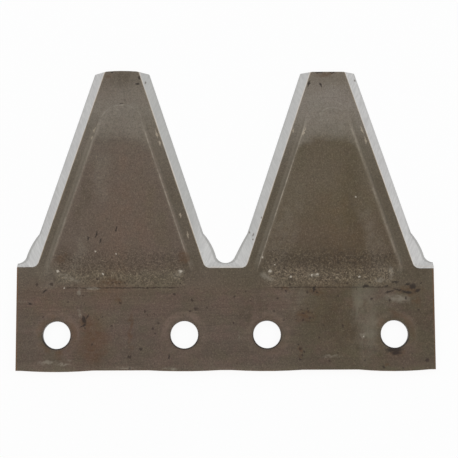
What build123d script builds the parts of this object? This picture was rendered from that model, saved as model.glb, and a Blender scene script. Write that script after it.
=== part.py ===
from build123d import *
import os
from math import atan, cos, degrees, radians, sin, sqrt, tan

# A double knife section: one flat steel plate with two teeth that stand up from a straight
# base bar. It lies on its flat back. The origin is on the back, in the middle of the row of
# holes. X runs along the base bar, Y towards the tips, and Z out of the bevelled side.

# Blank
tooth_pitch = 76.2
end_relief = 0.3
thickness = 2.5
heel_depth = 12.8
shoulder_height = 24.2
tip_height = 97.2

# Teeth, with the tip's width measured on the front between the bevels. Each tip is worn to its
# own shallow arc, which stands a little above or below the nominal tip height.
tip_width = 12.4
bevel_width = 3.5
tip_arc_radii = (65.0, 420.0)
tip_arc_rises = (0.3, -0.2)
tip_corner_radius = 0.45

# Gullets: a whole one between the teeth, and half of one at each end. The cutting edge turns
# out at the foot of each flank, into a flare that bulges a little, left and right on each tooth.
gullet_width = 14.9
gullet_radius = 3.8
gullet_bevel = 2.0
gullet_floor_angle = 35.0
shoulder_radius = 1.5
flare_turn = 9.5
flare_bulges = ((0.5, 0.6), (0.1, 0.55))

# Holes
hole_diameter = 10.0
hole_spacing = 46.2
hole_rim_radius = 0.3

# Heel edge, which swells a little where each hole was punched
heel_swells = (0.5, 0.38, 0.42, 0.6)
heel_swell_gap = 4.0
edge_rollover = 0.35

# Pressed panel on each tooth, raised on the bevelled side and hollow behind. Its slopes rise
# from a foot outline to a crest outline, steeply at the flanks and gently at both ends. The
# crest is rounded over the last share of the slope, and the foot starts just inside the plate.
panel_height = 0.9
foot_margin = 3.3
foot_below_shoulder = 7.15
foot_below_tip = 12.5
foot_radius = 8.0
crest_margin = 4.45
crest_below_shoulder = 1.5
crest_below_tip = 24.3
crest_low_radius, crest_high_radius = 4.0, 3.0
crest_ease = 0.4
slope_shares = (0.3, 0.6, 0.8, 1.0)
foot_sink = 0.1
hollow_inset = 0.6

tooth_centres = (-tooth_pitch / 2, tooth_pitch / 2)
hole_places = [centre + side * hole_spacing / 2 for centre in tooth_centres for side in (-1, 1)]
half_length = tooth_pitch - end_relief
front_half_tip = tip_width / 2
front_half_root = (tooth_pitch - gullet_width) / 2
flank_slope = (front_half_root - front_half_tip) / (tip_height - shoulder_height)
flank_angle = degrees(atan(flank_slope))
flare_angle = flank_angle + flare_turn
back_half_tip = front_half_tip + bevel_width / cos(radians(flank_angle))
gullet_floor = shoulder_height + gullet_bevel
swell_reach = (tooth_pitch - hole_spacing - heel_swell_gap) / 2
foot_low, foot_high = shoulder_height - foot_below_shoulder, tip_height - foot_below_tip
crest_low, crest_high = shoulder_height - crest_below_shoulder, tip_height - crest_below_tip


def flank_offset(height, half_tip):
    """How far a flank line lies from its tooth's centre line at one height."""
    return half_tip + (tip_height - height) * flank_slope


def tip_corner(half_tip, arc_radius, arc_top):
    """Where a flank line meets the tip arc, from the tooth's centre line."""
    half_top = flank_offset(arc_top, half_tip)
    a = 1 + flank_slope**2
    b = 2 * (arc_radius - half_top * flank_slope)
    drop = (b - sqrt(b**2 - 4 * a * half_top**2)) / (2 * a)
    return half_top + drop * flank_slope, arc_top - drop


def circle_point(centre, radius, angle):
    """Point of a circle, at an angle in degrees from its lowest point."""
    return centre[0] + radius * sin(radians(angle)), centre[1] - radius * cos(radians(angle))


def back_gullet():
    """Points of the cutting edge from a gullet's floor up to where the flank is straight."""
    centre = (0.0, gullet_floor + gullet_radius)
    last_angle = 90 - flare_angle
    tangent = circle_point(centre, gullet_radius, last_angle)
    # The flare runs on from the arc until it meets the straight flank.
    spread, rise = sin(radians(flare_angle)), cos(radians(flare_angle))
    gap = tooth_pitch / 2 - flank_offset(tangent[1], back_half_tip) - tangent[0]
    run = gap / (spread - rise * flank_slope)
    return {
        "end": (end_relief, centre[1] - sqrt(gullet_radius**2 - end_relief**2)),
        "end_middle": circle_point(centre, gullet_radius, gullet_floor_angle / 2),
        "floor": (0.0, gullet_floor),
        "split": circle_point(centre, gullet_radius, gullet_floor_angle),
        "turn": circle_point(centre, gullet_radius, (gullet_floor_angle + last_angle) / 2),
        "tangent": tangent,
        "knee": (tangent[0] + run * spread, tangent[1] + run * rise),
    }


def front_gullet():
    """The same points on the front face, where the ground bevel ends."""
    turn_angle = 90 - flank_angle
    corner = tooth_pitch / 2 - flank_offset(shoulder_height, front_half_tip)
    reach = shoulder_radius * tan(radians(turn_angle / 2))
    centre = (corner - reach, shoulder_height + shoulder_radius)
    knee_height = back_gullet()["knee"][1] - bevel_width * sin(radians(flank_angle))
    return {
        "end": (end_relief, shoulder_height),
        "split": (centre[0], shoulder_height),
        "turn": circle_point(centre, shoulder_radius, turn_angle / 2),
        "tangent": circle_point(centre, shoulder_radius, turn_angle),
        "knee": (tooth_pitch / 2 - flank_offset(knee_height, front_half_tip), knee_height),
    }


def heel_edges(level):
    """The heel edge from right to left, with a shallow swell below each hole."""
    edges = []
    start = (half_length, -heel_depth, level)
    for place, swell in reversed(list(zip(hole_places, heel_swells))):
        near = (place + swell_reach, -heel_depth, level)
        far = (place - swell_reach, -heel_depth, level)
        edges.append(Line(start, near))
        edges.append(ThreePointArc(near, (place, -heel_depth - swell, level), far))
        start = far
    edges.append(Line(start, (-half_length, -heel_depth, level)))
    return edges


def flare_edge(start, end, bulge):
    """The edge of a flare, drawn from left to right: bulged towards the gullet, or straight."""
    if bulge == 0:
        return Line(start, end)
    chord = Vector(end) - Vector(start)
    outward = Vector(-chord.Y, chord.X).normalized()
    return ThreePointArc(start, Vector(start) + chord / 2 + outward * bulge, end)


def blank_outline(gullet, half_tip, level, bulges):
    """Closed outline of the blank at one level, from a gullet's points and the tip's width."""

    def at(name, centre, side):
        return (centre + side * gullet[name][0], gullet[name][1], level)

    def join(centre, side, names, middle):
        start, end = (at(name, centre, side) for name in names)
        if middle in gullet:
            return ThreePointArc(start, at(middle, centre, side), end)
        return Line(start, end)

    left_end, right_end = -tooth_pitch, tooth_pitch
    edges = [join(left_end, 1, ("end", "split"), "end_middle")]
    arcs = zip(tip_arc_radii, (tip_height + rise for rise in tip_arc_rises))
    for centre, (arc_radius, arc_top), (bulge, right_bulge) in zip(tooth_centres, arcs, bulges):
        left, right = centre - tooth_pitch / 2, centre + tooth_pitch / 2
        tip_x, tip_y = tip_corner(half_tip, arc_radius, arc_top)
        tip_left, tip_right = (centre - tip_x, tip_y, level), (centre + tip_x, tip_y, level)
        edges += [
            join(left, 1, ("split", "tangent"), "turn"),
            flare_edge(at("tangent", left, 1), at("knee", left, 1), bulge),
            Line(at("knee", left, 1), tip_left),
            ThreePointArc(tip_left, (centre, arc_top, level), tip_right),
            Line(tip_right, at("knee", right, -1)),
            flare_edge(at("knee", right, -1), at("tangent", right, -1), right_bulge),
            join(right, -1, ("tangent", "split"), "turn"),
        ]
        if right < right_end:
            start, end = at("split", right, -1), at("split", right, 1)
            floor = "floor" in gullet
            edges.append(
                ThreePointArc(start, at("floor", right, 1), end) if floor else Line(start, end)
            )
    edges.append(join(right_end, -1, ("split", "end"), "end_middle"))
    edges.append(Line(at("end", right_end, -1), (half_length, -heel_depth, level)))
    edges += heel_edges(level)
    edges.append(Line((-half_length, -heel_depth, level), at("end", left_end, 1)))
    return make_face(edges)


def panel_outline(centre, margin, low, high, corner_radii, level):
    """Tapered outline with rounded corners, a fixed margin inside the front flank lines."""
    inset = margin / cos(radians(flank_angle))
    low_half = flank_offset(low, front_half_tip) - inset
    high_half = flank_offset(high, front_half_tip) - inset
    corners = [
        (centre - low_half, low, level),
        (centre + low_half, low, level),
        (centre + high_half, high, level),
        (centre - high_half, high, level),
    ]
    # The upper corners run together into an arch where the tooth is too narrow for both.
    widest_arch = 0.97 * high_half / tan(radians(90 - flank_angle) / 2)
    low_radius, high_radius = corner_radii[0], min(corner_radii[1], widest_arch)
    radii = (low_radius, low_radius, high_radius, high_radius)
    return make_face(FilletPolyline(*corners, radius=radii, close=True))


def slope_height(share):
    """Height across a panel's slope, as a share of the full height: straight, then levelling."""
    steepness = 1 / (1 - crest_ease / 2)
    if share < 1 - crest_ease:
        return steepness * share
    return 1 - steepness * (1 - share) ** 2 / (2 * crest_ease)


def pressing(centre, inset, base_level):
    """Solid of one panel, from just below its foot to a crest that is rounded over."""
    foot = (foot_margin, foot_low, foot_high, foot_radius, foot_radius)
    crest = (crest_margin, crest_low, crest_high, crest_low_radius, crest_high_radius)
    sections = []
    for share in (-foot_sink, *slope_shares):
        margin, low, high, low_radius, high_radius = (
            start + (end - start) * share for start, end in zip(foot, crest)
        )
        level = base_level + panel_height * slope_height(share)
        radii = (low_radius, high_radius)
        outline = panel_outline(centre, margin + inset, low + inset, high - inset, radii, level)
        sections.append(outline)
    return loft(sections)


def rounded_tips(body):
    """Round the four corners where a tip's end face meets the ground bevels."""
    high = [edge for edge in body.edges() if edge.center().Y > tip_height - tip_width / 4]
    corners = [edge for edge in high if edge.bounding_box().size.Z > thickness / 2]
    return fillet(corners, tip_corner_radius)


def rolled_edges(body):
    """Roll over the sheared front edges along the heel and both ends."""
    front = body.faces().sort_by(Axis.Z)[-1]
    sheared = [edge for edge in front.edges() if edge.center().Y < shoulder_height - gullet_radius]
    return fillet(sheared, edge_rollover)


def punched_holes(body):
    """Punch the row of round holes, with the rims drawn in a little on the front."""
    punch = Cylinder(hole_diameter / 2, 4 * thickness)
    body -= [Pos(place, 0, 0) * punch for place in hole_places]
    circles = body.edges().filter_by(GeomType.CIRCLE).group_by(Axis.Z)[-1]
    rims = [edge for edge in circles if abs(edge.arc_center.Y) < hole_diameter / 2]
    return fillet(rims, hole_rim_radius)


def knife_section():
    """The whole section: ground blank, worn and punched, with a pressed panel on each tooth."""
    straight = [(0, 0)] * len(tooth_centres)
    back = blank_outline(back_gullet(), back_half_tip, 0, flare_bulges)
    front = blank_outline(front_gullet(), front_half_tip, thickness, straight)
    body = punched_holes(rolled_edges(rounded_tips(loft([back, front], ruled=True))))
    for centre in tooth_centres:
        body += pressing(centre, 0, thickness)
        body -= pressing(centre, hollow_inset, 0)
    return body


os.makedirs("parts", exist_ok=True)
export_step(knife_section(), "parts/knife_section.step")
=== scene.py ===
from math import atan, cos, hypot, pi, radians, sin

import bmesh
import bpy
from mathutils import Matrix, Vector, noise

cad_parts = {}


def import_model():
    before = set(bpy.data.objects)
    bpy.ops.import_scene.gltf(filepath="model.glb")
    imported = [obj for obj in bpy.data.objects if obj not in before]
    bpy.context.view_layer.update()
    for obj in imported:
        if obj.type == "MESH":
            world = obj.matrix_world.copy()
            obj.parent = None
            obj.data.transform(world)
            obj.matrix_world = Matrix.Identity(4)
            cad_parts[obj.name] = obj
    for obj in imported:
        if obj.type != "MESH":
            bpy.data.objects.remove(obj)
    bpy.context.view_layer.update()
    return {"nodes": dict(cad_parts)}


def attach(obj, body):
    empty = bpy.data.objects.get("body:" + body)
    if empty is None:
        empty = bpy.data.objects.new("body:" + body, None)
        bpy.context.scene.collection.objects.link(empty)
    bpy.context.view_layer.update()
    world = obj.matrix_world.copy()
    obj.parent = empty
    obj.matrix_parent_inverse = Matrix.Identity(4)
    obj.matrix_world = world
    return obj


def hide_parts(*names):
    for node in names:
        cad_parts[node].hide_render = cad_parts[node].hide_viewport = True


# A double knife section lying on its flat back, seen from above with the tips at the top.
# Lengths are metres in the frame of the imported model: X along the base bar, Y to the tips.

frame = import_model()

MM = 0.001

# Sizes of the section that the finish follows
TOOTH_PITCH = 76.2 * MM
TOOTH_CENTRES = (-TOOTH_PITCH / 2, TOOTH_PITCH / 2)
THICKNESS = 2.5 * MM
SHOULDER_HEIGHT = 24.2 * MM
TIP_HEIGHT = 97.2 * MM
HEEL_DEPTH = 12.8 * MM
HALF_LENGTH = TOOTH_PITCH - 0.3 * MM
FRONT_HALF_TIP = 6.2 * MM
FRONT_HALF_ROOT = (TOOTH_PITCH - 14.9 * MM) / 2
FLANK_SLOPE = (FRONT_HALF_ROOT - FRONT_HALF_TIP) / (TIP_HEIGHT - SHOULDER_HEIGHT)
FLANK_COSINE = cos(atan(FLANK_SLOPE))
HOLE_RADIUS = 5.0 * MM
HOLE_SPACING = 46.2 * MM
HOLE_PLACES = [centre + side * HOLE_SPACING / 2 for centre in TOOTH_CENTRES for side in (-1, 1)]
CREST_MARGIN = 4.45 * MM


def srgb(red, green, blue):
    """A finish colour, given as 0 to 255, as the shader wants it."""
    parts = []
    for part in (red, green, blue):
        share = part / 255
        parts.append(share / 12.92 if share <= 0.04045 else ((share + 0.055) / 1.055) ** 2.4)
    return (*parts, 1.0)


class Net:
    """Adds nodes to one tree. A plain value is set on a socket, and a socket is linked to it."""

    def __init__(self, tree):
        self.tree = tree

    def feed(self, socket, value):
        if isinstance(value, bpy.types.NodeSocket):
            self.tree.links.new(value, socket)
        else:
            socket.default_value = value

    def add(self, kind, inputs=(), **settings):
        node = self.tree.nodes.new(kind)
        for name, value in settings.items():
            setattr(node, name, value)
        for name, value in dict(inputs).items():
            self.feed(node.inputs[name], value)
        return node

    def math(self, operation, first, second=0.0, clamp=False):
        node = self.add("ShaderNodeMath", operation=operation, use_clamp=clamp)
        self.feed(node.inputs[0], first)
        self.feed(node.inputs[1], second)
        return node.outputs[0]

    def vector(self, operation, first, second=(0, 0, 0), out="Vector"):
        node = self.add("ShaderNodeVectorMath", operation=operation)
        self.feed(node.inputs[0], first)
        self.feed(node.inputs[1], second)
        return node.outputs[out]

    def rise(self, value, start, end, low=0.0, high=1.0):
        """Smooth step of a value: low before start and high after end."""
        node = self.add("ShaderNodeMapRange", interpolation_type="SMOOTHSTEP")
        for place, part in enumerate((value, start, end, low, high)):
            self.feed(node.inputs[place], part)
        return node.outputs["Result"]

    def blend(self, share, first, second, mode="MIX"):
        node = self.add("ShaderNodeMix", data_type="RGBA", blend_type=mode)
        self.feed(node.inputs[0], share)
        self.feed(node.inputs[6], first)
        self.feed(node.inputs[7], second)
        return node.outputs[2]

    def group(self, tree, **inputs):
        node = self.add("ShaderNodeGroup", node_tree=tree)
        for name, value in inputs.items():
            self.feed(node.inputs[name.replace("_", " ").capitalize()], value)
        return node


def effect(name, inputs, outputs):
    """An empty node group with named inputs and outputs, and its net, input and output nodes."""
    tree = bpy.data.node_groups.new(name, "ShaderNodeTree")
    kinds = {"value": "NodeSocketFloat", "vector": "NodeSocketVector"}
    for label, kind in inputs:
        tree.interface.new_socket(label, in_out="INPUT", socket_type=kinds[kind])
    for label, kind in outputs:
        tree.interface.new_socket(label, in_out="OUTPUT", socket_type=kinds[kind])
    net = Net(tree)
    return net, net.add("NodeGroupInput").outputs, net.add("NodeGroupOutput").inputs


def place_effect():
    """Where a point lies, in millimetres: its place, and its distances from lines of the part."""
    outputs = [("Place", "vector"), ("Across", "value"), ("Along", "value"), ("Up", "value")]
    outputs += [("Tooth", "value"), ("Flank", "value"), ("Side", "value")]
    net, _, out = effect("Place on the section", [], outputs)
    place = net.vector("SCALE", net.add("ShaderNodeTexCoord").outputs["Object"])
    place.node.inputs["Scale"].default_value = 1 / MM
    net.feed(out["Place"], place)
    axes = net.add("ShaderNodeSeparateXYZ", {"Vector": place}).outputs
    net.feed(out["Across"], axes["X"])
    net.feed(out["Along"], axes["Y"])
    net.feed(out["Up"], axes["Z"])
    tooth = net.math("SUBTRACT", net.math("ABSOLUTE", axes["X"]), TOOTH_CENTRES[1] / MM)
    side = net.math("MULTIPLY", tooth, net.math("SIGN", axes["X"]))
    net.feed(out["Side"], side)
    offset = net.math("ABSOLUTE", tooth)
    net.feed(out["Tooth"], offset)
    # Distance inside the line where the bevel meets the front, square to that line.
    drop = net.math("MULTIPLY", net.math("SUBTRACT", TIP_HEIGHT / MM, axes["Y"]), FLANK_SLOPE)
    half = net.math("ADD", drop, FRONT_HALF_TIP / MM)
    inside = net.math("MULTIPLY", net.math("SUBTRACT", half, offset), FLANK_COSINE)
    net.feed(out["Flank"], inside)
    return net.tree


def mottle_effect():
    """Cloudy patches: a mask from noise, with its own size, stretch and cut-off."""
    inputs = [("Place", "vector"), ("Size", "value"), ("Stretch", "vector")]
    inputs += [("Low", "value"), ("High", "value"), ("Seed", "value")]
    net, given, out = effect("Mottle", inputs, [("Mask", "value")])
    stretched = net.vector("MULTIPLY", given["Place"], given["Stretch"])
    cloud = net.add("ShaderNodeTexNoise", noise_dimensions="4D")
    net.feed(cloud.inputs["Vector"], stretched)
    net.feed(cloud.inputs["W"], given["Seed"])
    net.feed(cloud.inputs["Scale"], net.math("DIVIDE", 1.0, given["Size"]))
    cloud.inputs["Detail"].default_value = 4
    cloud.inputs["Roughness"].default_value = 0.6
    net.feed(out["Mask"], net.rise(cloud.outputs["Fac"], given["Low"], given["High"]))
    return net.tree


def patch_effect():
    """One stain, scratch, rubbed spot, or spot of painted shade or highlight: an ellipse at a place, turned and with
    ragged edges.
    """
    inputs = [("Place", "vector"), ("Centre", "vector"), ("Reach", "vector"), ("Turn", "value")]
    inputs += [("Softness", "value")]
    net, given, out = effect("Patch", inputs, [("Mask", "value")])
    away = net.vector("SUBTRACT", given["Place"], given["Centre"])
    turned = net.add("ShaderNodeVectorRotate", rotation_type="Z_AXIS")
    net.feed(turned.inputs["Vector"], away)
    net.feed(turned.inputs["Angle"], net.math("MULTIPLY", given["Turn"], -pi / 180))
    scaled = net.vector("DIVIDE", turned.outputs["Vector"], given["Reach"])
    reach = net.vector("LENGTH", scaled, out="Value")
    inner = net.math("SUBTRACT", 1.0, given["Softness"])
    net.feed(out["Mask"], net.rise(reach, inner, net.math("ADD", 1.0, given["Softness"]), 1.0, 0.0))
    return net.tree


def pitting_effect():
    """Scattered small pits: round spots in some of the cells of a random pattern."""
    inputs = [("Place", "vector"), ("Spacing", "value"), ("Share", "value"), ("Reach", "value")]
    net, given, out = effect("Pitting", inputs, [("Mask", "value")])
    cells = net.add("ShaderNodeTexVoronoi", {"Vector": given["Place"]})
    net.feed(cells.inputs["Scale"], net.math("DIVIDE", 1.0, given["Spacing"]))
    chance = net.add("ShaderNodeSeparateColor", {"Color": cells.outputs["Color"]}).outputs
    reach = net.math("MULTIPLY", given["Reach"], net.rise(chance["Green"], 0, 1, 0.5, 1.3))
    spot = net.rise(cells.outputs["Distance"], net.math("MULTIPLY", reach, 0.5), reach, 1.0, 0.0)
    present = net.math("LESS_THAN", chance["Red"], given["Share"])
    net.feed(out["Mask"], net.math("MULTIPLY", spot, present))
    return net.tree


def ragged_effect():
    """The place, pushed about by noise, so that marks laid out on it get uneven edges."""
    inputs = [("Place", "vector"), ("Amount", "value"), ("Size", "value")]
    net, given, out = effect("Ragged place", inputs, [("Place", "vector")])
    push = net.add("ShaderNodeTexNoise", {"Vector": given["Place"], "Detail": 3.0})
    net.feed(push.inputs["Scale"], net.math("DIVIDE", 1.0, given["Size"]))
    parts = net.add("ShaderNodeSeparateColor", {"Color": push.outputs["Color"]}).outputs
    double = net.math("MULTIPLY", given["Amount"], 2.0)
    shifts = [net.math("MULTIPLY", net.math("SUBTRACT", parts[axis], 0.5), double) for axis in (0, 1)]
    shift = net.add("ShaderNodeCombineXYZ", {"X": shifts[0], "Y": shifts[1]}).outputs[0]
    net.feed(out["Place"], net.vector("ADD", given["Place"], shift))
    return net.tree


PLACE = place_effect()
RAGGED = ragged_effect()
MOTTLE = mottle_effect()
PATCH = patch_effect()
PITTING = pitting_effect()


# How far past the middle, in millimetres, the marks of one half are still laid out on the other
HALF_OVERLAP = 8.0


class Finish:
    """One material in the making: its net, its shader and the place of each point."""

    def __init__(self, name, metallic, gloss=0.5, half=0):
        self.half = half
        self.material = bpy.data.materials.new(name)
        self.material.use_nodes = True
        self.net = Net(self.material.node_tree)
        self.shader = self.material.node_tree.nodes["Principled BSDF"]
        self.shader.inputs["Metallic"].default_value = metallic
        self.shader.inputs["Specular IOR Level"].default_value = gloss
        self.where = self.net.group(PLACE).outputs
        self.right = self.net.rise(self.where["Across"], -9, 9)

    def reaches(self, x, reach=0.0):
        """Whether something at this place across can show on the half that has this finish."""
        return self.half * x > -reach - HALF_OVERLAP

    def clouds(self, size, low=0.4, high=0.6, stretch=(1, 1, 1), seed=0.0):
        """Cloudy mask with patches of about this size, in millimetres."""
        values = {"place": self.where["Place"], "size": size, "stretch": stretch}
        return self.net.group(MOTTLE, low=low, high=high, seed=seed, **values).outputs[0]

    def pitting(self, place, spacing, share, reach):
        """Scattered spots, with a spacing in millimetres and a reach as a share of it."""
        values = {"place": place, "spacing": spacing, "share": share, "reach": reach}
        return self.net.group(PITTING, **values).outputs[0]

    def ragged(self, amount, size):
        """The place, pushed about by noise of this size, in millimetres."""
        return self.net.group(RAGGED, place=self.where["Place"], amount=amount, size=size).outputs[0]

    def patches(self, place, marks, softness=0.4):
        """One mask for a group of marks: centre, half length, half width and turn of each."""
        mask = 0.0
        for x, y, *shape in marks:
            reach, width, turn = (*shape, *(shape[0], 0.0)[len(shape) - 1:])
            if not self.reaches(x, reach):
                continue
            values = {"centre": (x, y, 0), "reach": (reach, width, 1000), "turn": turn}
            patch = self.net.group(PATCH, place=place, softness=softness, **values).outputs[0]
            mask = self.net.math("MAXIMUM", mask, patch)
        return mask

    def shades(self, value, stops):
        """Colours that follow one another as a value rises through the stops."""
        start, end = stops[0][0], stops[-1][0]
        share = self.net.add("ShaderNodeMapRange")
        for place, part in enumerate((value, start, end, 0.0, 1.0)):
            self.net.feed(share.inputs[place], part)
        scale = self.net.add("ShaderNodeValToRGB", {"Fac": share.outputs["Result"]})
        elements = scale.color_ramp.elements
        for place, (at, colour) in enumerate(stops):
            spot = (at - start) / (end - start)
            element = elements[place] if place < 2 else elements.new(spot)
            element.position, element.color = spot, srgb(*colour)
        return scale.outputs["Color"]

    def line(self, value, middle, half_width):
        """Thin line where a value passes its middle."""
        off = self.net.math("ABSOLUTE", self.net.math("SUBTRACT", value, middle))
        return self.net.rise(off, half_width * 0.4, half_width * 1.6, 1.0, 0.0)

    def between(self, value, low, high, soft):
        """Band of a value, with soft ends."""
        rising = self.net.rise(value, low - soft, low + soft)
        return self.net.math("MULTIPLY", rising, self.net.rise(value, high - soft, high + soft, 1.0, 0.0))

    def times(self, *masks):
        """Masks multiplied together."""
        product = masks[0]
        for mask in masks[1:]:
            product = self.net.math("MULTIPLY", product, mask)
        return product

    def ends(self, colour, roughness, height, depth):
        net = self.net
        net.feed(self.shader.inputs["Base Color"], colour)
        net.feed(self.shader.inputs["Roughness"], roughness)
        bump = net.add("ShaderNodeBump", {"Height": height, "Distance": depth})
        net.feed(self.shader.inputs["Normal"], bump.outputs["Normal"])
        return self.material


# Shades of the skin down the middle of each tooth and of its margins, by height in millimetres. The paler stops high on
# the teeth are painted light, the sheen of the tips and of the top ramps of the panels.
LEFT_MIDDLE = (
    (-13, (99, 88, 75)), (-9.5, (87, 74, 64)), (2, (91, 78, 68)), (16.5, (93, 78, 66)),
    (18.5, (103, 92, 77)), (21.5, (105, 95, 79)), (24, (90, 77, 64)), (30, (92, 79, 69)),
    (50, (96, 83, 73)), (71, (96, 86, 76)), (74.5, (112, 104, 94)), (84, (121, 114, 104)),
    (89, (117, 109, 99)), (97.5, (97, 88, 77)),
)
RIGHT_MIDDLE = (
    (-13, (85, 76, 60)), (-9.5, (78, 68, 55)), (-4, (83, 73, 58)), (8, (76, 65, 50)),
    (16.5, (79, 69, 53)), (18.5, (103, 91, 74)), (21.5, (107, 95, 78)), (26, (76, 64, 48)),
    (36, (83, 70, 54)), (46, (87, 76, 58)), (56, (92, 82, 66)), (71, (86, 77, 60)),
    (74, (118, 111, 100)), (80, (128, 121, 111)), (88, (133, 126, 117)), (97, (117, 108, 96)),
)
LEFT_MARGIN = (
    (16, (91, 78, 66)), (26, (90, 81, 69)), (55, (89, 81, 69)), (68, (103, 95, 84)),
    (78, (107, 100, 90)), (97, (97, 88, 77)),
)
RIGHT_MARGIN = (
    (16, (82, 72, 57)), (26, (84, 76, 62)), (55, (85, 77, 63)), (68, (100, 93, 81)),
    (78, (125, 118, 108)), (97, (117, 108, 96)),
)


def tooth_shades(finish):
    """Colour of the skin by height, in the middle of the teeth and on their margins, with painted light on the upper
    part of the teeth.
    """
    net, where, right = finish.net, finish.where, finish.right
    height = where["Along"]
    drift = net.math("SUBTRACT", finish.clouds(7, 0.3, 0.7, seed=5.0), 0.5)
    height = net.math("ADD", height, net.math("MULTIPLY", drift, 2.4))
    # On the right tooth the painted light of the panel top reaches further down beside the crests.
    sag = net.math("MULTIPLY", net.math("POWER", where["Tooth"], 2.0), net.rise(right, 0, 1, 0.012, 0.035))
    sag = net.math("MULTIPLY", sag, net.rise(where["Along"], 62, 68))
    middle = net.math("ADD", height, sag)
    turned_brown = net.rise(where["Across"], 17, 33)
    change = net.rise(where["Along"], 15, 19)
    side = net.math("ADD", finish.times(right, change), finish.times(turned_brown, net.math("SUBTRACT", 1.0, change)))
    middle = net.blend(side, finish.shades(middle, LEFT_MIDDLE), finish.shades(middle, RIGHT_MIDDLE))
    margin = net.blend(right, finish.shades(height, LEFT_MARGIN), finish.shades(height, RIGHT_MARGIN))
    outside = net.rise(where["Flank"], CREST_MARGIN / MM - 0.5, CREST_MARGIN / MM, 1.0, 0.0)
    outside = finish.times(outside, finish.between(where["Along"], 21, 80, 3.5))
    beside = finish.times(net.rise(where["Tooth"], 21, 24.5), finish.between(where["Along"], 16.5, 24, 1.5))
    return net.blend(net.math("MAXIMUM", outside, beside), middle, margin)


# Broad tints: centre, half length, half width and turn
REDDISH_TINTS = ((-36.5, 40, 10, 17), (-35, 64, 8, 6), (-43, 16, 9, 5), (-49, -3, 7, 9), (-66, 12, 9, 5))
OLIVE_TINTS = ((-25, 42, 3, 16, 18), (46, 56, 6, 24), (-26, 19, 8, 3), (52, 19, 8, 3), (50, -9, 12, 3))
BROWN_TINTS = ((43, 38, 8, 24), (34, 12, 9, 9), (43, 6, 5, 13), (-49, 0, 6, 9), (-42, 20, 8, 6))
PALE_TINTS = (
    (-45, 58, 2.5, 8), (-29.5, 75, 5, 6), (39, 77, 9, 4), (21, 36, 4, 16, -18), (27, 12, 6, 4),
    (-62, 21, 6, 4), (56, 12, 6, 5), (52, 2, 3, 9), (53, 36, 3, 14, 18), (-30, 88, 4, 8), (-54, 29, 2, 7, -18),
)
DARK_TINTS = (
    (47, 47, 3.8, 22), (43, 27, 8, 7), (-60, 28, 3, 4), (-12, 25, 4, 4), (13, 27, 3, 4), (69, 23, 4, 5),
    (36, 1, 7, 12), (47, -2, 3, 5), (57, -8, 7, 3), (-51, 51, 2, 8, -18), (72, 0, 4, 10), (-39, 94, 4, 4),
    (44.3, 9, 2.2, 9), (41, 16, 4, 4), (10, 8, 6, 6), (-47, -8, 7, 4),
)


def skin_mottling(finish, colour):
    """Olive and reddish clouds, the rolling grain of the bar, and the rough foot of the panels."""
    net, where = finish.net, finish.where
    wide = finish.ragged(4.0, 9.0)
    tints = (
        (REDDISH_TINTS, finish.clouds(6, 0.35, 0.65, seed=7.0), srgb(118, 84, 66), 0.26),
        (OLIVE_TINTS, finish.clouds(5, 0.35, 0.65, (1.4, 0.7, 1), 8.0), srgb(84, 78, 48), 0.24),
        (BROWN_TINTS, finish.clouds(4, 0.35, 0.65, (1.2, 0.7, 1), 8.5), srgb(92, 66, 26), 0.24),
        (PALE_TINTS, finish.clouds(3, 0.35, 0.65, seed=9.0), srgb(134, 126, 113), 0.26),
        (DARK_TINTS, finish.clouds(2, 0.35, 0.65, (1, 0.8, 1), 9.5), srgb(58, 46, 26), 0.4),
    )
    for places, clouds, tint, strength in tints:
        share = net.rise(finish.patches(wide, places, 0.9), 0, 1, 0.04, strength)
        share = net.math("MULTIPLY", share, net.rise(clouds, 0, 1, 0.45, 1.0))
        colour = net.blend(share, colour, tint)
    # Rolling grain along the bar
    bar = net.rise(where["Along"], 15, 18, 1.0, 0.3)
    for size, seed in ((0.45, 10.0), (1.3, 11.0)):
        grain = finish.clouds(size, 0.42, 0.62, (0.05, 1, 1), seed)
        colour = net.blend(finish.times(grain, bar, 0.16), colour, srgb(48, 38, 28))
    # Pinkish and olive clouds on the bar
    for size, seed, tint in ((6.0, 30.0, srgb(112, 82, 76)), (5.0, 31.0, srgb(88, 84, 58))):
        cloud = finish.clouds(size, 0.45, 0.6, (0.7, 1, 1), seed)
        colour = net.blend(finish.times(cloud, bar, 0.17), colour, tint)
    # Fine speckle everywhere, and coarse where the foot of each panel was drawn
    inside = finish.times(net.rise(where["Flank"], 2.5, 6), finish.between(where["Along"], 18.2, 30, 2.5))
    inside = finish.times(inside, net.rise(where["Tooth"], 21, 25, 1.0, 0.15))
    rough = finish.times(inside, net.rise(finish.right, 0, 1, 0.7, 1.0))
    lower = net.rise(where["Along"], 21.5, 25.5, 1.0, 0.3)
    for size, dark, pale, seed in ((0.5, 0.24, 0.11, 12.0), (0.85, 0.14, 0.08, 13.0)):
        cloud = finish.clouds(size, 0.44, 0.6, seed=seed)
        share = net.math("ADD", net.math("MULTIPLY", rough, 0.32), dark)
        colour = net.blend(net.math("MULTIPLY", cloud, share), colour, srgb(40, 30, 20))
        cloud = finish.clouds(size, 0.52, 0.66, seed=seed + 10)
        share = net.math("ADD", finish.times(rough, lower, 0.28), pale)
        colour = net.blend(net.math("MULTIPLY", cloud, share), colour, srgb(172, 156, 132))
    holes = finish.pitting(finish.ragged(0.35, 0.8), 1.0, 0.3, 0.5)
    return net.blend(finish.times(holes, rough, 0.45), colour, srgb(36, 26, 16))


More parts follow.
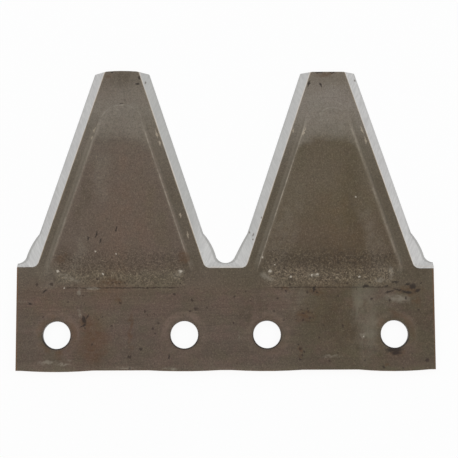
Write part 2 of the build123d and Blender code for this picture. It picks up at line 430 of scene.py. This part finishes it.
def skin_finish(name, half):
    """The dark hardening skin of the front and back, on the left or right half of the section."""
    finish = Finish(name, 0.15, 0.3, half)
    net = finish.net
    colour = skin_mottling(finish, tooth_shades(finish))
    colour = wear_and_painted_light(finish, colour)
    colour = hole_rings(finish, colour)
    colour = skin_marks(finish, colour)
    clouds = finish.clouds(5, 0.3, 0.7, seed=14.0)
    roughness = net.rise(clouds, 0, 1, 0.42, 0.56)
    grain = net.math("ADD", finish.clouds(0.5, 0.2, 0.8, seed=15.0), net.math("MULTIPLY", clouds, 0.5))
    return finish.ends(colour, roughness, grain, 0.00002)


# Crest of each panel flank, its bright line partly burnished wear and partly painted highlight, with painted
# light and sheen beside it: tooth, side, distance in from the bevel, half width of the line and of the soft
# band beside it, and how plain the line and the band are
CRESTS = (
    (-38.1, -1, 4.1, 0.45, 0.9, 0.24, 0.24), (-38.1, 1, 4.95, 0.22, 0.7, 0.42, 0.1),
    (38.1, -1, 4.15, 0.2, 0.8, 0.52, 0.22), (38.1, 1, 4.75, 0.34, 0.8, 0.26, 0.12),
)
# Painted highlight on the arches at the top of the panels: centre, top and radius in millimetres, and how plain each is
PANEL_ARCHES = ((-38.1, 84.7, 8.3, 0.2), (38.6, 86.0, 8.6, 0.2), (39.8, 83.6, 5.6, 0.26))


def wear_and_painted_light(finish, colour):
    """Crests of the panels, partly burnished and partly painted highlight, painted light on their slopes and arches,
    and the line at their foot, painted shade and partly dirt.
    """
    net, where = finish.net, finish.where
    flank, height = where["Flank"], where["Along"]
    broken = finish.clouds(2.6, 0.36, 0.6, (1, 0.35, 1), 16.0)
    spotty = finish.clouds(0.9, 0.35, 0.62, (1, 0.6, 1), 17.0)
    sides = finish.between(height, 25, 77, 3)
    for centre, side, distance, width, band, line_share, slope_light_share in CRESTS:
        if not finish.reaches(centre):
            continue
        here = net.rise(net.math("MULTIPLY", net.math("SUBTRACT", where["Across"], centre), side), 0, 2)
        near = net.rise(net.math("ABSOLUTE", net.math("SUBTRACT", where["Across"], centre)), 38, 36)
        here = finish.times(here, near, sides)
        inside = net.math("SUBTRACT", flank, distance)
        # Painted light on the slope inside the crest and a painted sheen beside the crest line; the line itself is
        # partly burnished wear and partly painted highlight.
        painted_slope_light = finish.times(finish.between(inside, -1.7, -0.1, 0.4), here, slope_light_share)
        colour = net.blend(painted_slope_light, colour, srgb(140, 132, 118))
        painted_crest_sheen = finish.times(finish.line(inside, 0, band), here, 0.12)
        colour = net.blend(painted_crest_sheen, colour, srgb(140, 130, 116))
        crest = finish.times(finish.line(inside, 0, width), here, net.rise(broken, 0, 1, 0.3, 1.0))
        crest = finish.times(crest, net.rise(spotty, 0, 1, 0.5, 1.0), line_share)
        colour = net.blend(crest, colour, srgb(176, 166, 150))
    # Painted highlight: a paler line along the inside of the bevels, where they meet the skin.
    root = finish.times(finish.line(flank, 0.12, 0.16), net.rise(height, 24.5, 27), net.rise(broken, 0, 1, 0.1, 0.35))
    colour = net.blend(root, colour, srgb(168, 150, 120))
    # Thin dark line at the foot, from one side of a panel to the other: painted shade in the crease there, partly dirt.
    wobble = net.math("MULTIPLY", finish.clouds(4, 0.2, 0.8, seed=18.0), 0.35)
    foot = finish.line(net.math("ADD", height, wobble), 17.2, 0.2)
    foot = finish.times(foot, net.rise(where["Tooth"], 19, 23, 1.0, 0.0), net.rise(spotty, 0, 1, 0.4, 0.9))
    colour = net.blend(foot, colour, srgb(40, 28, 18))
    # Painted highlight along the arch at the top of each panel
    for centre, top, radius, share in PANEL_ARCHES:
        if not finish.reaches(centre):
            continue
        arch = ring(finish, (centre, top - radius), radius, 0.24)
        arch = finish.times(arch, net.rise(height, top - 0.6 * radius, top - 0.3 * radius), share)
        arch = finish.times(arch, net.rise(broken, 0, 1, 0.35, 1.0), net.rise(spotty, 0, 1, 0.4, 1.0))
        colour = net.blend(arch, colour, srgb(166, 160, 146))
    # Rusty brown along the sheared ends of the bar
    end = net.math("SUBTRACT", HALF_LENGTH / MM, net.math("ABSOLUTE", where["Across"]))
    edge = finish.times(net.rise(end, 0.2, 0.75, 1.0, 0.0), net.rise(broken, 0, 1, 0.3, 0.7))
    return net.blend(edge, colour, srgb(112, 76, 44))


def hole_distance(finish, centre):
    """Distance from an upright line through a centre, such as the middle of a hole."""
    away = finish.net.vector("SUBTRACT", finish.where["Place"], (*centre, 0))
    away = finish.net.vector("MULTIPLY", away, (1, 1, 0))
    return finish.net.vector("LENGTH", away, out="Value")


def ring(finish, centre, radius, half_width):
    """Circular line about a centre."""
    return finish.line(hole_distance(finish, centre), radius, half_width)


# Ring round each hole, from left to right: how pale it is, and how rusty inside it
HOLE_RINGS = ((0.22, 0.8), (0.24, 0.1), (0.2, 0.25), (0.14, 0.7))


def hole_rings(finish, colour):
    """Paler rings that bolt heads rubbed round the holes, partly rusted, and painted shade on the lower rim inside each
    hole.
    """
    net, height = finish.net, finish.where["Along"]
    patchy = finish.clouds(3.2, 0.4, 0.56, seed=19.0)
    rusty = finish.clouds(3.2, 0.42, 0.58, seed=20.0)
    streaked = finish.clouds(0.6, 0.3, 0.7, (0.3, 1, 1), 21.0)
    upper = net.rise(height, -7, 7, 0.4, 1.0)
    shaded_lower_side = net.rise(height, -3.5, 2.5, 1.0, 0.0)
    for place, (pale, rust) in zip(HOLE_PLACES, HOLE_RINGS):
        centre = (place / MM, 0.0)
        if not finish.reaches(centre[0]):
            continue
        band = finish.times(ring(finish, centre, 7.3, 1.1), net.rise(patchy, 0, 1, 0.25, 1.0), upper)
        band = finish.times(band, net.rise(streaked, 0, 1, 0.6, 1.0), pale)
        colour = net.blend(band, colour, srgb(146, 124, 110))
        inner = finish.times(ring(finish, centre, 6.4, 1.1), rusty, rust * 0.42)
        colour = net.blend(inner, colour, srgb(82, 58, 32))
        # Painted shade: a dark line on the lower rim inside the hole.
        inside = net.rise(hole_distance(finish, centre), 5.25, 5.65, 1.0, 0.0)
        colour = net.blend(finish.times(inside, shaded_lower_side, 0.85), colour, srgb(26, 20, 16))
    return colour


# Marks on the skin, from the photograph: centre, half length, half width and turn
RUST_STAINS = (
    (-47.6, -2.6, 4.6, 6.6), (-50.2, 3.6, 2.4, 3.0, 20), (-60.2, -7.2, 1.6, 1.2), (-39.6, 12.5, 1.6, 1.6),
    (-34.4, 1.0, 0.7, 6.0), (61.6, 8.0, 3.0, 0.9), (29.1, 6.6, 3.2, 1.8), (62.4, -6.9, 2.0, 1.0),
    (27.2, -6.2, 1.0, 2.4), (33.0, 15.4, 2.2, 1.0), (21.5, 16.4, 1.6, 0.8), (-43.0, 95.4, 1.5, 1.1),
    (37.5, 96.0, 2.8, 0.8), (66.5, 15.8, 4.5, 1.6), (69.5, 11.5, 1.4, 2.0), (-41.0, 19.0, 3.0, 1.2),
    (-59.9, 27.6, 1.9, 1.7), (-15.2, 28.0, 1.7, 2.4), (57.8, -11.4, 1.2, 0.8),
)
# Among the dark stains, (61.0, -5.8) and (61.6, -6.9) are painted shade on the lower rim of the right-hand hole, and
# (-38.2, 85.1) is painted shade, partly dirt, along the top of the left panel's arch.
DARK_STAINS_AND_PAINTED_SHADE = (
    (-51.3, 5.4, 0.7, 1.4, 10), (61.0, -5.8, 2.7, 0.9), (61.6, -6.9, 1.8, 0.8), (68.0, 17.2, 1.2, 1.0),
    (61.6, 18.8, 1.3, 0.45), (59.6, 15.4, 1.6, 0.35, 15), (62.7, 16.0, 1.6, 0.35, -12), (65.9, 15.1, 1.9, 0.45, -10),
    (69.8, 15.7, 1.2, 0.5, 20), (66.2, 18.0, 1.0, 0.3, 10), (58.4, 17.3, 0.7, 0.3), (70.9, 18.4, 0.4, 0.3),
    (50.9, 17.3, 1.0, 0.5), (32.2, 16.4, 0.45, 1.3, -15), (33.2, 15.2, 0.5, 0.3), (-20.4, -7.8, 0.2, 1.4),
    (-31.6, 94.9, 0.4, 0.8, 20), (-32.2, 92.6, 0.9, 0.3), (31.1, 92.6, 0.4, 1.1, -20), (35.5, 92.0, 0.3, 0.8, 35),
    (34.9, 96.7, 1.3, 0.3), (39.8, 96.6, 0.9, 0.3), (-47.0, 36.4, 0.3, 1.1, -12), (-39.8, 38.4, 0.3, 0.9, -10),
    (-70.9, 11.4, 0.8, 0.35, -30), (-65.6, 15.9, 1.1, 0.3, 40), (-38.2, 85.1, 0.7, 0.15), (-41.7, 97.0, 0.5, 0.3),
    (-51.6, 3.4, 1.2, 0.3, 30), (-50.0, 6.6, 0.3, 0.9, -20), (-50.0, 35.0, 0.3, 0.8, -15), (-45.5, 34.0, 0.3, 0.8, -12),
)
DARK_PITS = (
    (-68.5, 18.3, 0.45), (-63.2, 18.5, 0.6), (-18.6, 14.6, 0.5), (-12.2, 12.5, 0.5), (-10.7, 9.4, 0.7),
    (-13.0, 8.4, 0.4), (-6.9, 9.7, 0.35), (-29.3, 8.5, 0.45), (-38.2, 11.6, 0.45), (-26.5, 2.2, 0.5),
    (-25.7, 0.6, 0.4), (-24.2, 4.2, 0.35), (-41.4, 3.2, 0.4), (-30.7, -5.2, 0.6), (-34.8, -8.0, 0.65),
    (7.3, 15.5, 0.4), (3.2, 13.7, 0.35), (19.0, 13.0, 0.45), (2.9, 4.1, 0.4), (29.7, 15.2, 0.5),
    (42.3, 2.9, 0.4), (28.2, 7.6, 0.45), (30.6, 5.8, 0.4), (26.9, -5.2, 0.55), (27.6, -7.6, 0.45),
    (37.5, -9.7, 0.4), (72.8, -9.6, 0.75), (53.1, 12.8, 0.5), (59.5, 12.2, 0.4), (65.4, 13.0, 0.5),
    (27.5, 8.9, 0.3), (29.7, 9.2, 0.3), (31.4, 7.7, 0.3), (28.1, 5.2, 0.35), (25.4, 5.4, 0.25), (30.2, 4.4, 0.3),
    (26.1, -3.7, 0.3), (28.3, -6.3, 0.35), (25.7, -7.3, 0.25), (26.9, -9.1, 0.35), (9.1, 12.2, 0.3),
    (-44.7, 6.6, 0.3), (-36.4, 18.7, 0.4), (-46.5, 20.2, 0.35), (-41.0, 18.9, 0.4), (-38.5, 18.6, 0.35),
    (22.0, 15.8, 0.4), (23.4, 18.2, 0.4), (36.5, 19.4, 0.35), (44.0, 18.4, 0.4), (52.5, 18.6, 0.35),
    (-16.5, 18.5, 0.3), (-28.4, 16.9, 0.35), (-66.0, 6.5, 0.3), (-57.2, 12.0, 0.3), (35.2, 3.2, 0.3),
    (33.8, -1.2, 0.3), (38.2, -3.4, 0.25), (40.5, -7.0, 0.3), (70.0, 8.8, 0.35), (57.0, -12.0, 0.5),
)
# Among the pale rubs, (-38.2, 84.5) is a painted highlight on the arch of the left panel.
PALE_RUBS_AND_HIGHLIGHT = (
    (-73.0, 12.1, 2.2, 0.3, 4), (-53.2, 15.7, 0.7, 1.1, -15), (-52.9, 7.9, 0.6, 1.3, 20), (-64.4, -9.9, 2.8, 0.7),
    (-56.3, -9.1, 1.0, 0.5), (62.8, 13.0, 3.6, 1.4, -8), (49.6, -0.4, 0.9, 0.9), (4.9, -0.6, 0.2, 1.8),
    (56.4, 19.4, 1.8, 0.7), (32.3, 21.4, 1.8, 0.8), (-38.2, 84.5, 1.3, 0.25), (-57.0, 20.8, 3.4, 0.7, -20),
    (-17.0, 22.0, 2.0, 1.0, 30), (-20.0, -12.2, 2.6, 0.35), (-36.0, -12.0, 3.0, 0.3), (-58.4, -10.6, 2.0, 0.3),
    (-48.5, 16.8, 3.0, 0.4), (15.0, 20.8, 2.4, 1.0, -30), (60.0, 22.0, 0.8, 2.4), (38.0, -8.0, 3.5, 0.4),
)
EDGE_RUBS = (
    (-25.2, 73.9, 0.3, 1.4, 18), (-24.0, 70.3, 0.3, 0.8, 18), (50.5, 75.0, 0.3, 1.4, 18), (51.7, 71.3, 0.3, 1.3, 18),
    (25.2, 74.8, 0.35, 0.7, -18), (-13.7, 36.2, 0.25, 1.2, 16), (-16.5, 43.6, 0.25, 0.8, 16),
    (-48.0, 75.4, 0.3, 1.2, -18), (-48.9, 72.4, 0.3, 0.5, -18), (29.2, 74.4, 0.25, 1.6, -18),
)
BRIGHT_SPECKS = (
    (-60.9, 23.1, 0.45), (-44.4, 22.0, 0.35), (-16.3, 23.0, 0.5), (-58.6, 17.0, 0.3), (16.2, 22.9, 0.6),
    (17.8, 25.2, 0.3), (23.6, 20.9, 0.35), (31.4, 21.3, 0.4), (33.3, 21.7, 0.35), (48.6, 20.7, 0.35),
    (47.6, 50.1, 0.3), (13.5, 27.9, 0.35), (-47.3, 30.2, 0.3), (-39.7, 29.4, 0.3), (49.9, -0.9, 0.3),
)
PALE_STREAK = ((49.0, 11.0, 3.6, 6.5), (51.2, 0.5, 3.0, 8.5, -8))


def skin_marks(finish, colour):
    """Rust, stains, pits, rubbed spots and specks, with a little painted shade and highlight at the right-hand hole and
    the left arch.
    """
    net = finish.net
    wide, fine, uneven = finish.ragged(2.4, 3.0), finish.ragged(0.7, 0.9), finish.ragged(1.2, 1.2)
    cloudy = finish.clouds(1.4, 0.36, 0.62, (0.6, 1, 1), 21.5)
    rolled = finish.clouds(0.7, 0.36, 0.62, (0.12, 1, 1), 21.7)
    rust = finish.times(finish.patches(wide, RUST_STAINS, 0.6), net.rise(cloudy, 0, 1, 0.4, 1.0), 0.62)
    rust = net.math("MULTIPLY", rust, net.rise(rolled, 0, 1, 0.6, 1.0))
    colour = net.blend(rust, colour, srgb(78, 52, 28))
    streak = finish.times(finish.patches(wide, PALE_STREAK, 0.8), finish.clouds(3.5, 0.3, 0.6, (1, 0.4, 1), 22.0))
    colour = net.blend(net.math("MULTIPLY", streak, 0.42), colour, srgb(124, 120, 104))
    # Pale rubs, with a painted highlight on the left arch
    rubs = finish.times(finish.patches(uneven, PALE_RUBS_AND_HIGHLIGHT, 0.6), net.rise(cloudy, 0, 1, 0.2, 1.0))
    colour = net.blend(net.math("MULTIPLY", rubs, 0.4), colour, srgb(150, 142, 128))
    rubbed = finish.patches(fine, EDGE_RUBS, 0.5)
    colour = net.blend(net.math("MULTIPLY", rubbed, 0.5), colour, srgb(182, 168, 148))
    bar = net.rise(finish.where["Along"], 17, 24, 1.0, 0.45)
    scattered = finish.times(finish.pitting(fine, 2.9, 0.42, 0.15), bar, 0.6)
    colour = net.blend(scattered, colour, srgb(40, 28, 22))
    # Dark stains, with painted shade under the right-hand hole and above the left arch
    stains = finish.patches(fine, DARK_STAINS_AND_PAINTED_SHADE, 0.5)
    colour = net.blend(net.math("MULTIPLY", stains, 0.88), colour, srgb(30, 20, 13))
    pits = finish.patches(fine, DARK_PITS, 0.4)
    colour = net.blend(net.math("MULTIPLY", pits, 0.75), colour, srgb(38, 24, 18))
    specks = finish.patches(fine, BRIGHT_SPECKS, 0.5)
    return net.blend(net.math("MULTIPLY", specks, 0.6), colour, srgb(205, 196, 180))


def ground_finish():
    """Bright bevels, with the slanting streaks of the grinding wheel."""
    finish = Finish("ground_bevel", 0.3)
    net, where = finish.net, finish.where
    slant = net.math("MULTIPLY", net.math("SIGN", where["Side"]), GRINDING_SLANT)
    turned = net.add("ShaderNodeVectorRotate", {"Vector": where["Place"], "Angle": slant}, rotation_type="Z_AXIS")
    values = {"place": turned.outputs["Vector"], "stretch": (1, 0.08, 0.3), "low": 0.3, "high": 0.7}
    streaks = net.group(MOTTLE, size=0.45, seed=1.0, **values).outputs[0]
    broad = finish.clouds(4.0, 0.3, 0.7, (1, 0.25, 0.5), 2.0)
    colour = net.blend(streaks, srgb(181, 180, 178), srgb(199, 198, 196))
    colour = net.blend(net.math("MULTIPLY", broad, 0.3), colour, srgb(176, 173, 173))
    # Painted shade: the flanks that face each other across the gullet are a little darker than the outer two.
    for centre, half, share in ((-22, 12, 0.5), (19, 14, 0.2)):
        shaded_flank = finish.between(where["Across"], centre - half, centre + half, 3)
        colour = net.blend(net.math("MULTIPLY", shaded_flank, share), colour, srgb(158, 158, 154))
    # Painted highlight along the root, and the dark edge of the flare
    root = net.math("MAXIMUM", finish.line(where["Flank"], -0.2, 0.2), finish.line(where["Along"], 24.55, 0.25))
    colour = net.blend(finish.times(root, net.rise(broad, 0, 1, 0.25, 0.7)), colour, srgb(206, 196, 186))
    edge = finish.times(net.rise(where["Up"], 0.3, 0.6, 1.0, 0.0), net.rise(where["Along"], 34, 44, 1.0, 0.2))
    colour = net.blend(net.math("MULTIPLY", edge, 0.4), colour, srgb(112, 112, 106))
    nicks = finish.patches(finish.ragged(0.25, 0.6), BEVEL_NICKS, 0.5)
    colour = net.blend(net.math("MULTIPLY", nicks, 0.7), colour, srgb(80, 66, 54))
    return finish.ends(colour, 0.55, streaks, 0.00001)


# Slant of the grinding streaks, leaning in towards the tip on either flank
GRINDING_SLANT = radians(25)
# Dark nicks and stains on the ground bevels: centre, half length, half width and turn
BEVEL_NICKS = (
    (10.2, 36.4, 0.3, 0.6, -20), (8.9, 37.4, 0.25, 0.4), (10.0, 34.6, 0.3, 0.25), (11.6, 35.2, 0.2, 0.5),
    (13.2, 42.6, 0.25, 0.4), (48.3, 94.0, 0.3, 0.4), (-29.4, 93.2, 0.3, 0.5),
)


def sheared_finish():
    """Cut edges of the blank: heel, ends, tips and the walls of the holes."""
    finish = Finish("sheared_edge", 0.4)
    clouds = finish.clouds(2.0, 0.3, 0.7, (1, 1, 0.3), 2.0)
    colour = finish.net.blend(clouds, srgb(140, 104, 68), srgb(176, 148, 114))
    return finish.ends(colour, 0.5, clouds, 0.00003)


# Pockets beside the teeth that are ground: middle and height of the shoulder, and corner radius
POCKETS = ((-TOOTH_PITCH, 24.8 * MM), (0.0, 24.2 * MM), (TOOTH_PITCH, 23.8 * MM))
POCKET_CORNER = 2.7 * MM
CORNER_STEPS = 5


def pocket_sides(middle, shoulder):
    """Lines round the ground part of a pocket: a point on each and the direction out of it."""
    lean = atan(FLANK_SLOPE)
    half = TOOTH_PITCH / 2 - FRONT_HALF_TIP - (TIP_HEIGHT - shoulder) * FLANK_SLOPE
    sides = []
    for side in (-1, 1):
        inset = half - POCKET_CORNER * (1 - sin(lean)) / cos(lean)
        centre = Vector((middle + side * inset, shoulder + POCKET_CORNER, 0))
        for step in range(CORNER_STEPS + 1):
            turn = (pi / 2 - lean) * step / CORNER_STEPS
            out = Vector((side * sin(turn), -cos(turn), 0))
            sides.append((centre + out * POCKET_CORNER, out))
    return sides


POCKET_SIDES = [(middle, shoulder, pocket_sides(middle, shoulder)) for middle, shoulder in POCKETS]


def is_ground(point):
    """Whether a point seen from the front lies on the ground bevels."""
    for middle, _, sides in POCKET_SIDES:
        if abs(point.x - middle) < TOOTH_PITCH / 2:
            flat = Vector((point.x, point.y, 0))
            return all((flat - place).dot(out) < 0.02 * MM for place, out in sides)
    return False


def in_hole(point):
    """Whether a point is on the wall or the drawn-in rim of a hole."""
    return min(hypot(point.x - place, point.y) for place in HOLE_PLACES) < 1.1 * HOLE_RADIUS


LEFT_SKIN, RIGHT_SKIN, GROUND, SHEARED = range(4)
SHARP_TURN = radians(20)
EASED_EDGE = 0.07 * MM
SLICE = 2.0 * MM


def surface_of(face):
    """Which finish a face of the section has, from its place and the way it faces."""
    middle, facing = face.calc_center_median(), face.normal
    if abs(facing.z) < 0.4 and not in_hole(middle):
        return SHEARED
    if facing.z > 0 and is_ground(middle):
        return GROUND
    return LEFT_SKIN if middle.x < 0 else RIGHT_SKIN


def eased_edges(net):
    """Take the knife sharpness off every edge, so that it catches the light."""
    sharp = [edge for edge in net.edges if edge.is_manifold and edge.calc_face_angle() > SHARP_TURN]
    bmesh.ops.bevel(net, geom=sharp, offset=EASED_EDGE, segments=2, profile=0.5, affect="EDGES", clamp_overlap=True)


def sliced(net):
    """Cut the surface into small squares, so that it shades evenly."""
    for axis in (0, 1):
        places = [vertex.co[axis] for vertex in net.verts]
        place = min(places) + SLICE
        facing = Vector((1 - axis, axis, 0))
        while place < max(places):
            everything = net.verts[:] + net.edges[:] + net.faces[:]
            bmesh.ops.bisect_plane(net, geom=everything, plane_co=facing * place, plane_no=facing)
            place += SLICE


def cut_at_pockets(net):
    """Cut the faces along the lines where the grinding stops."""
    for middle, shoulder, sides in POCKET_SIDES:
        for place, out in sides:
            near = [face for face in net.faces if (face.calc_center_median().xy - Vector((middle, shoulder))).length < 14 * MM]
            parts = set(near)
            for face in near:
                parts.update(face.verts)
                parts.update(face.edges)
            bmesh.ops.bisect_plane(net, geom=list(parts), plane_co=place, plane_no=out)


def plate():
    """The section itself, with each surface in its own finish."""
    mesh = frame["nodes"]["knife_section"].data.copy()
    mesh.name = "knife_plate"
    mesh.materials.clear()
    skins = (skin_finish("oxide_skin_left", -1), skin_finish("oxide_skin_right", 1))
    for finish in (*skins, ground_finish(), sheared_finish()):
        mesh.materials.append(finish)
    net = bmesh.new()
    net.from_mesh(mesh)
    bmesh.ops.remove_doubles(net, verts=net.verts, dist=0.001 * MM)
    bmesh.ops.dissolve_limit(net, angle_limit=radians(0.3), verts=net.verts, edges=net.edges)
    eased_edges(net)
    sliced(net)
    cut_at_pockets(net)
    net.normal_update()
    for face in net.faces:
        face.material_index = surface_of(face)
        face.smooth = True
    net.to_mesh(mesh)
    net.free()
    piece = bpy.data.objects.new("knife_plate", mesh)
    bpy.context.scene.collection.objects.link(piece)
    flats = piece.modifiers.new("flats stay flat", "WEIGHTED_NORMAL")
    flats.weight = 100
    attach(piece, "root")
    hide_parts("knife_section")
    print("plate faces", len(mesh.polygons), "corners", len(mesh.loops))
    return piece


def seen_white(net, surface, strength):
    """Adds plain white to a surface for the camera, and for what is seen in gloss."""
    path = net.add("ShaderNodeLightPath").outputs
    seen = net.math("MAXIMUM", path["Is Camera Ray"], path["Is Glossy Ray"])
    seen = net.math("MAXIMUM", seen, path["Is Transmission Ray"])
    glow = net.add("ShaderNodeEmission", {"Color": (1, 1, 1, 1), "Strength": 1.0})
    mix = net.add("ShaderNodeMixShader")
    net.feed(mix.inputs[0], net.math("MULTIPLY", seen, strength))
    net.feed(mix.inputs[1], surface)
    net.feed(mix.inputs[2], glow.outputs[0])
    return mix.outputs[0]


def floor():
    """A plain white floor that keeps the section's faint shadow."""
    mesh = bpy.data.meshes.new("floor")
    half, level = 3.0, -0.02 * MM
    corners = [(-half, -half, level), (half, -half, level), (half, half, level), (-half, half, level)]
    mesh.from_pydata(corners, [], [(0, 1, 2, 3)])
    piece = bpy.data.objects.new("floor", mesh)
    bpy.context.scene.collection.objects.link(piece)
    material = bpy.data.materials.new("white_floor")
    material.use_nodes = True
    net = Net(material.node_tree)
    material.node_tree.nodes.remove(material.node_tree.nodes["Principled BSDF"])
    matt = net.add("ShaderNodeBsdfDiffuse", {"Color": (0.9, 0.9, 0.9, 1)})
    output = material.node_tree.nodes["Material Output"]
    net.feed(output.inputs["Surface"], seen_white(net, matt.outputs[0], 0.92))
    mesh.materials.append(material)


def world():
    """Even pale light from all round, seen as white."""
    scene_world = bpy.data.worlds.new("studio")
    scene_world.use_nodes = True
    bpy.context.scene.world = scene_world
    net = Net(scene_world.node_tree)
    nodes = scene_world.node_tree.nodes
    soft = nodes["Background"]
    soft.inputs["Color"].default_value = (0.97, 0.985, 1.0, 1)
    soft.inputs["Strength"].default_value = 0.6
    surface = seen_white(net, soft.outputs[0], 1.0)
    net.feed(nodes["World Output"].inputs["Surface"], surface)


def lamp(name, place, size, power):
    """One soft lamp, aimed at the middle of the section."""
    data = bpy.data.lights.new(name, "AREA")
    data.shape, data.size, data.energy = "SQUARE", size, power
    piece = bpy.data.objects.new(name, data)
    piece.location = place
    target = Vector((0, 42 * MM, 0))
    piece.rotation_euler = (target - piece.location).to_track_quat("-Z", "Y").to_euler()
    bpy.context.scene.collection.objects.link(piece)


# Camera, fitted to the photograph: it looks almost straight down, from a little towards the heel.
PICTURE_SIDE = 458
FOCAL_PIXELS = 1370
CAMERA_TILT, CAMERA_YAW, CAMERA_ROLL = radians(-6.83), radians(0.34), radians(0.23)
CAMERA_TARGET = Vector((1.35 * MM, 38.73 * MM, 0))
CAMERA_DISTANCE = 502.8 * MM


def camera():
    """The camera of the photograph."""
    data = bpy.data.cameras.new("camera")
    data.sensor_width = 36
    data.lens = FOCAL_PIXELS / PICTURE_SIDE * data.sensor_width
    data.clip_start, data.clip_end = 0.01, 20
    turn = Matrix.Rotation(CAMERA_ROLL, 3, "Z") @ Matrix.Rotation(CAMERA_TILT, 3, "X")
    turn = (turn @ Matrix.Rotation(CAMERA_YAW, 3, "Y")).transposed()
    piece = bpy.data.objects.new("camera", data)
    location = CAMERA_TARGET + turn @ Vector((0, 0, CAMERA_DISTANCE))
    piece.matrix_world = Matrix.Translation(location) @ turn.to_4x4()
    bpy.context.scene.collection.objects.link(piece)
    bpy.context.scene.camera = piece


plate()
floor()
world()
lamp("key", (-0.5, 0.5, 0.75), 0.6, 2.6)
lamp("fill", (0.75, 0.1, 0.6), 0.8, 2.4)
camera()
bpy.context.scene.view_settings.view_transform = "Standard"
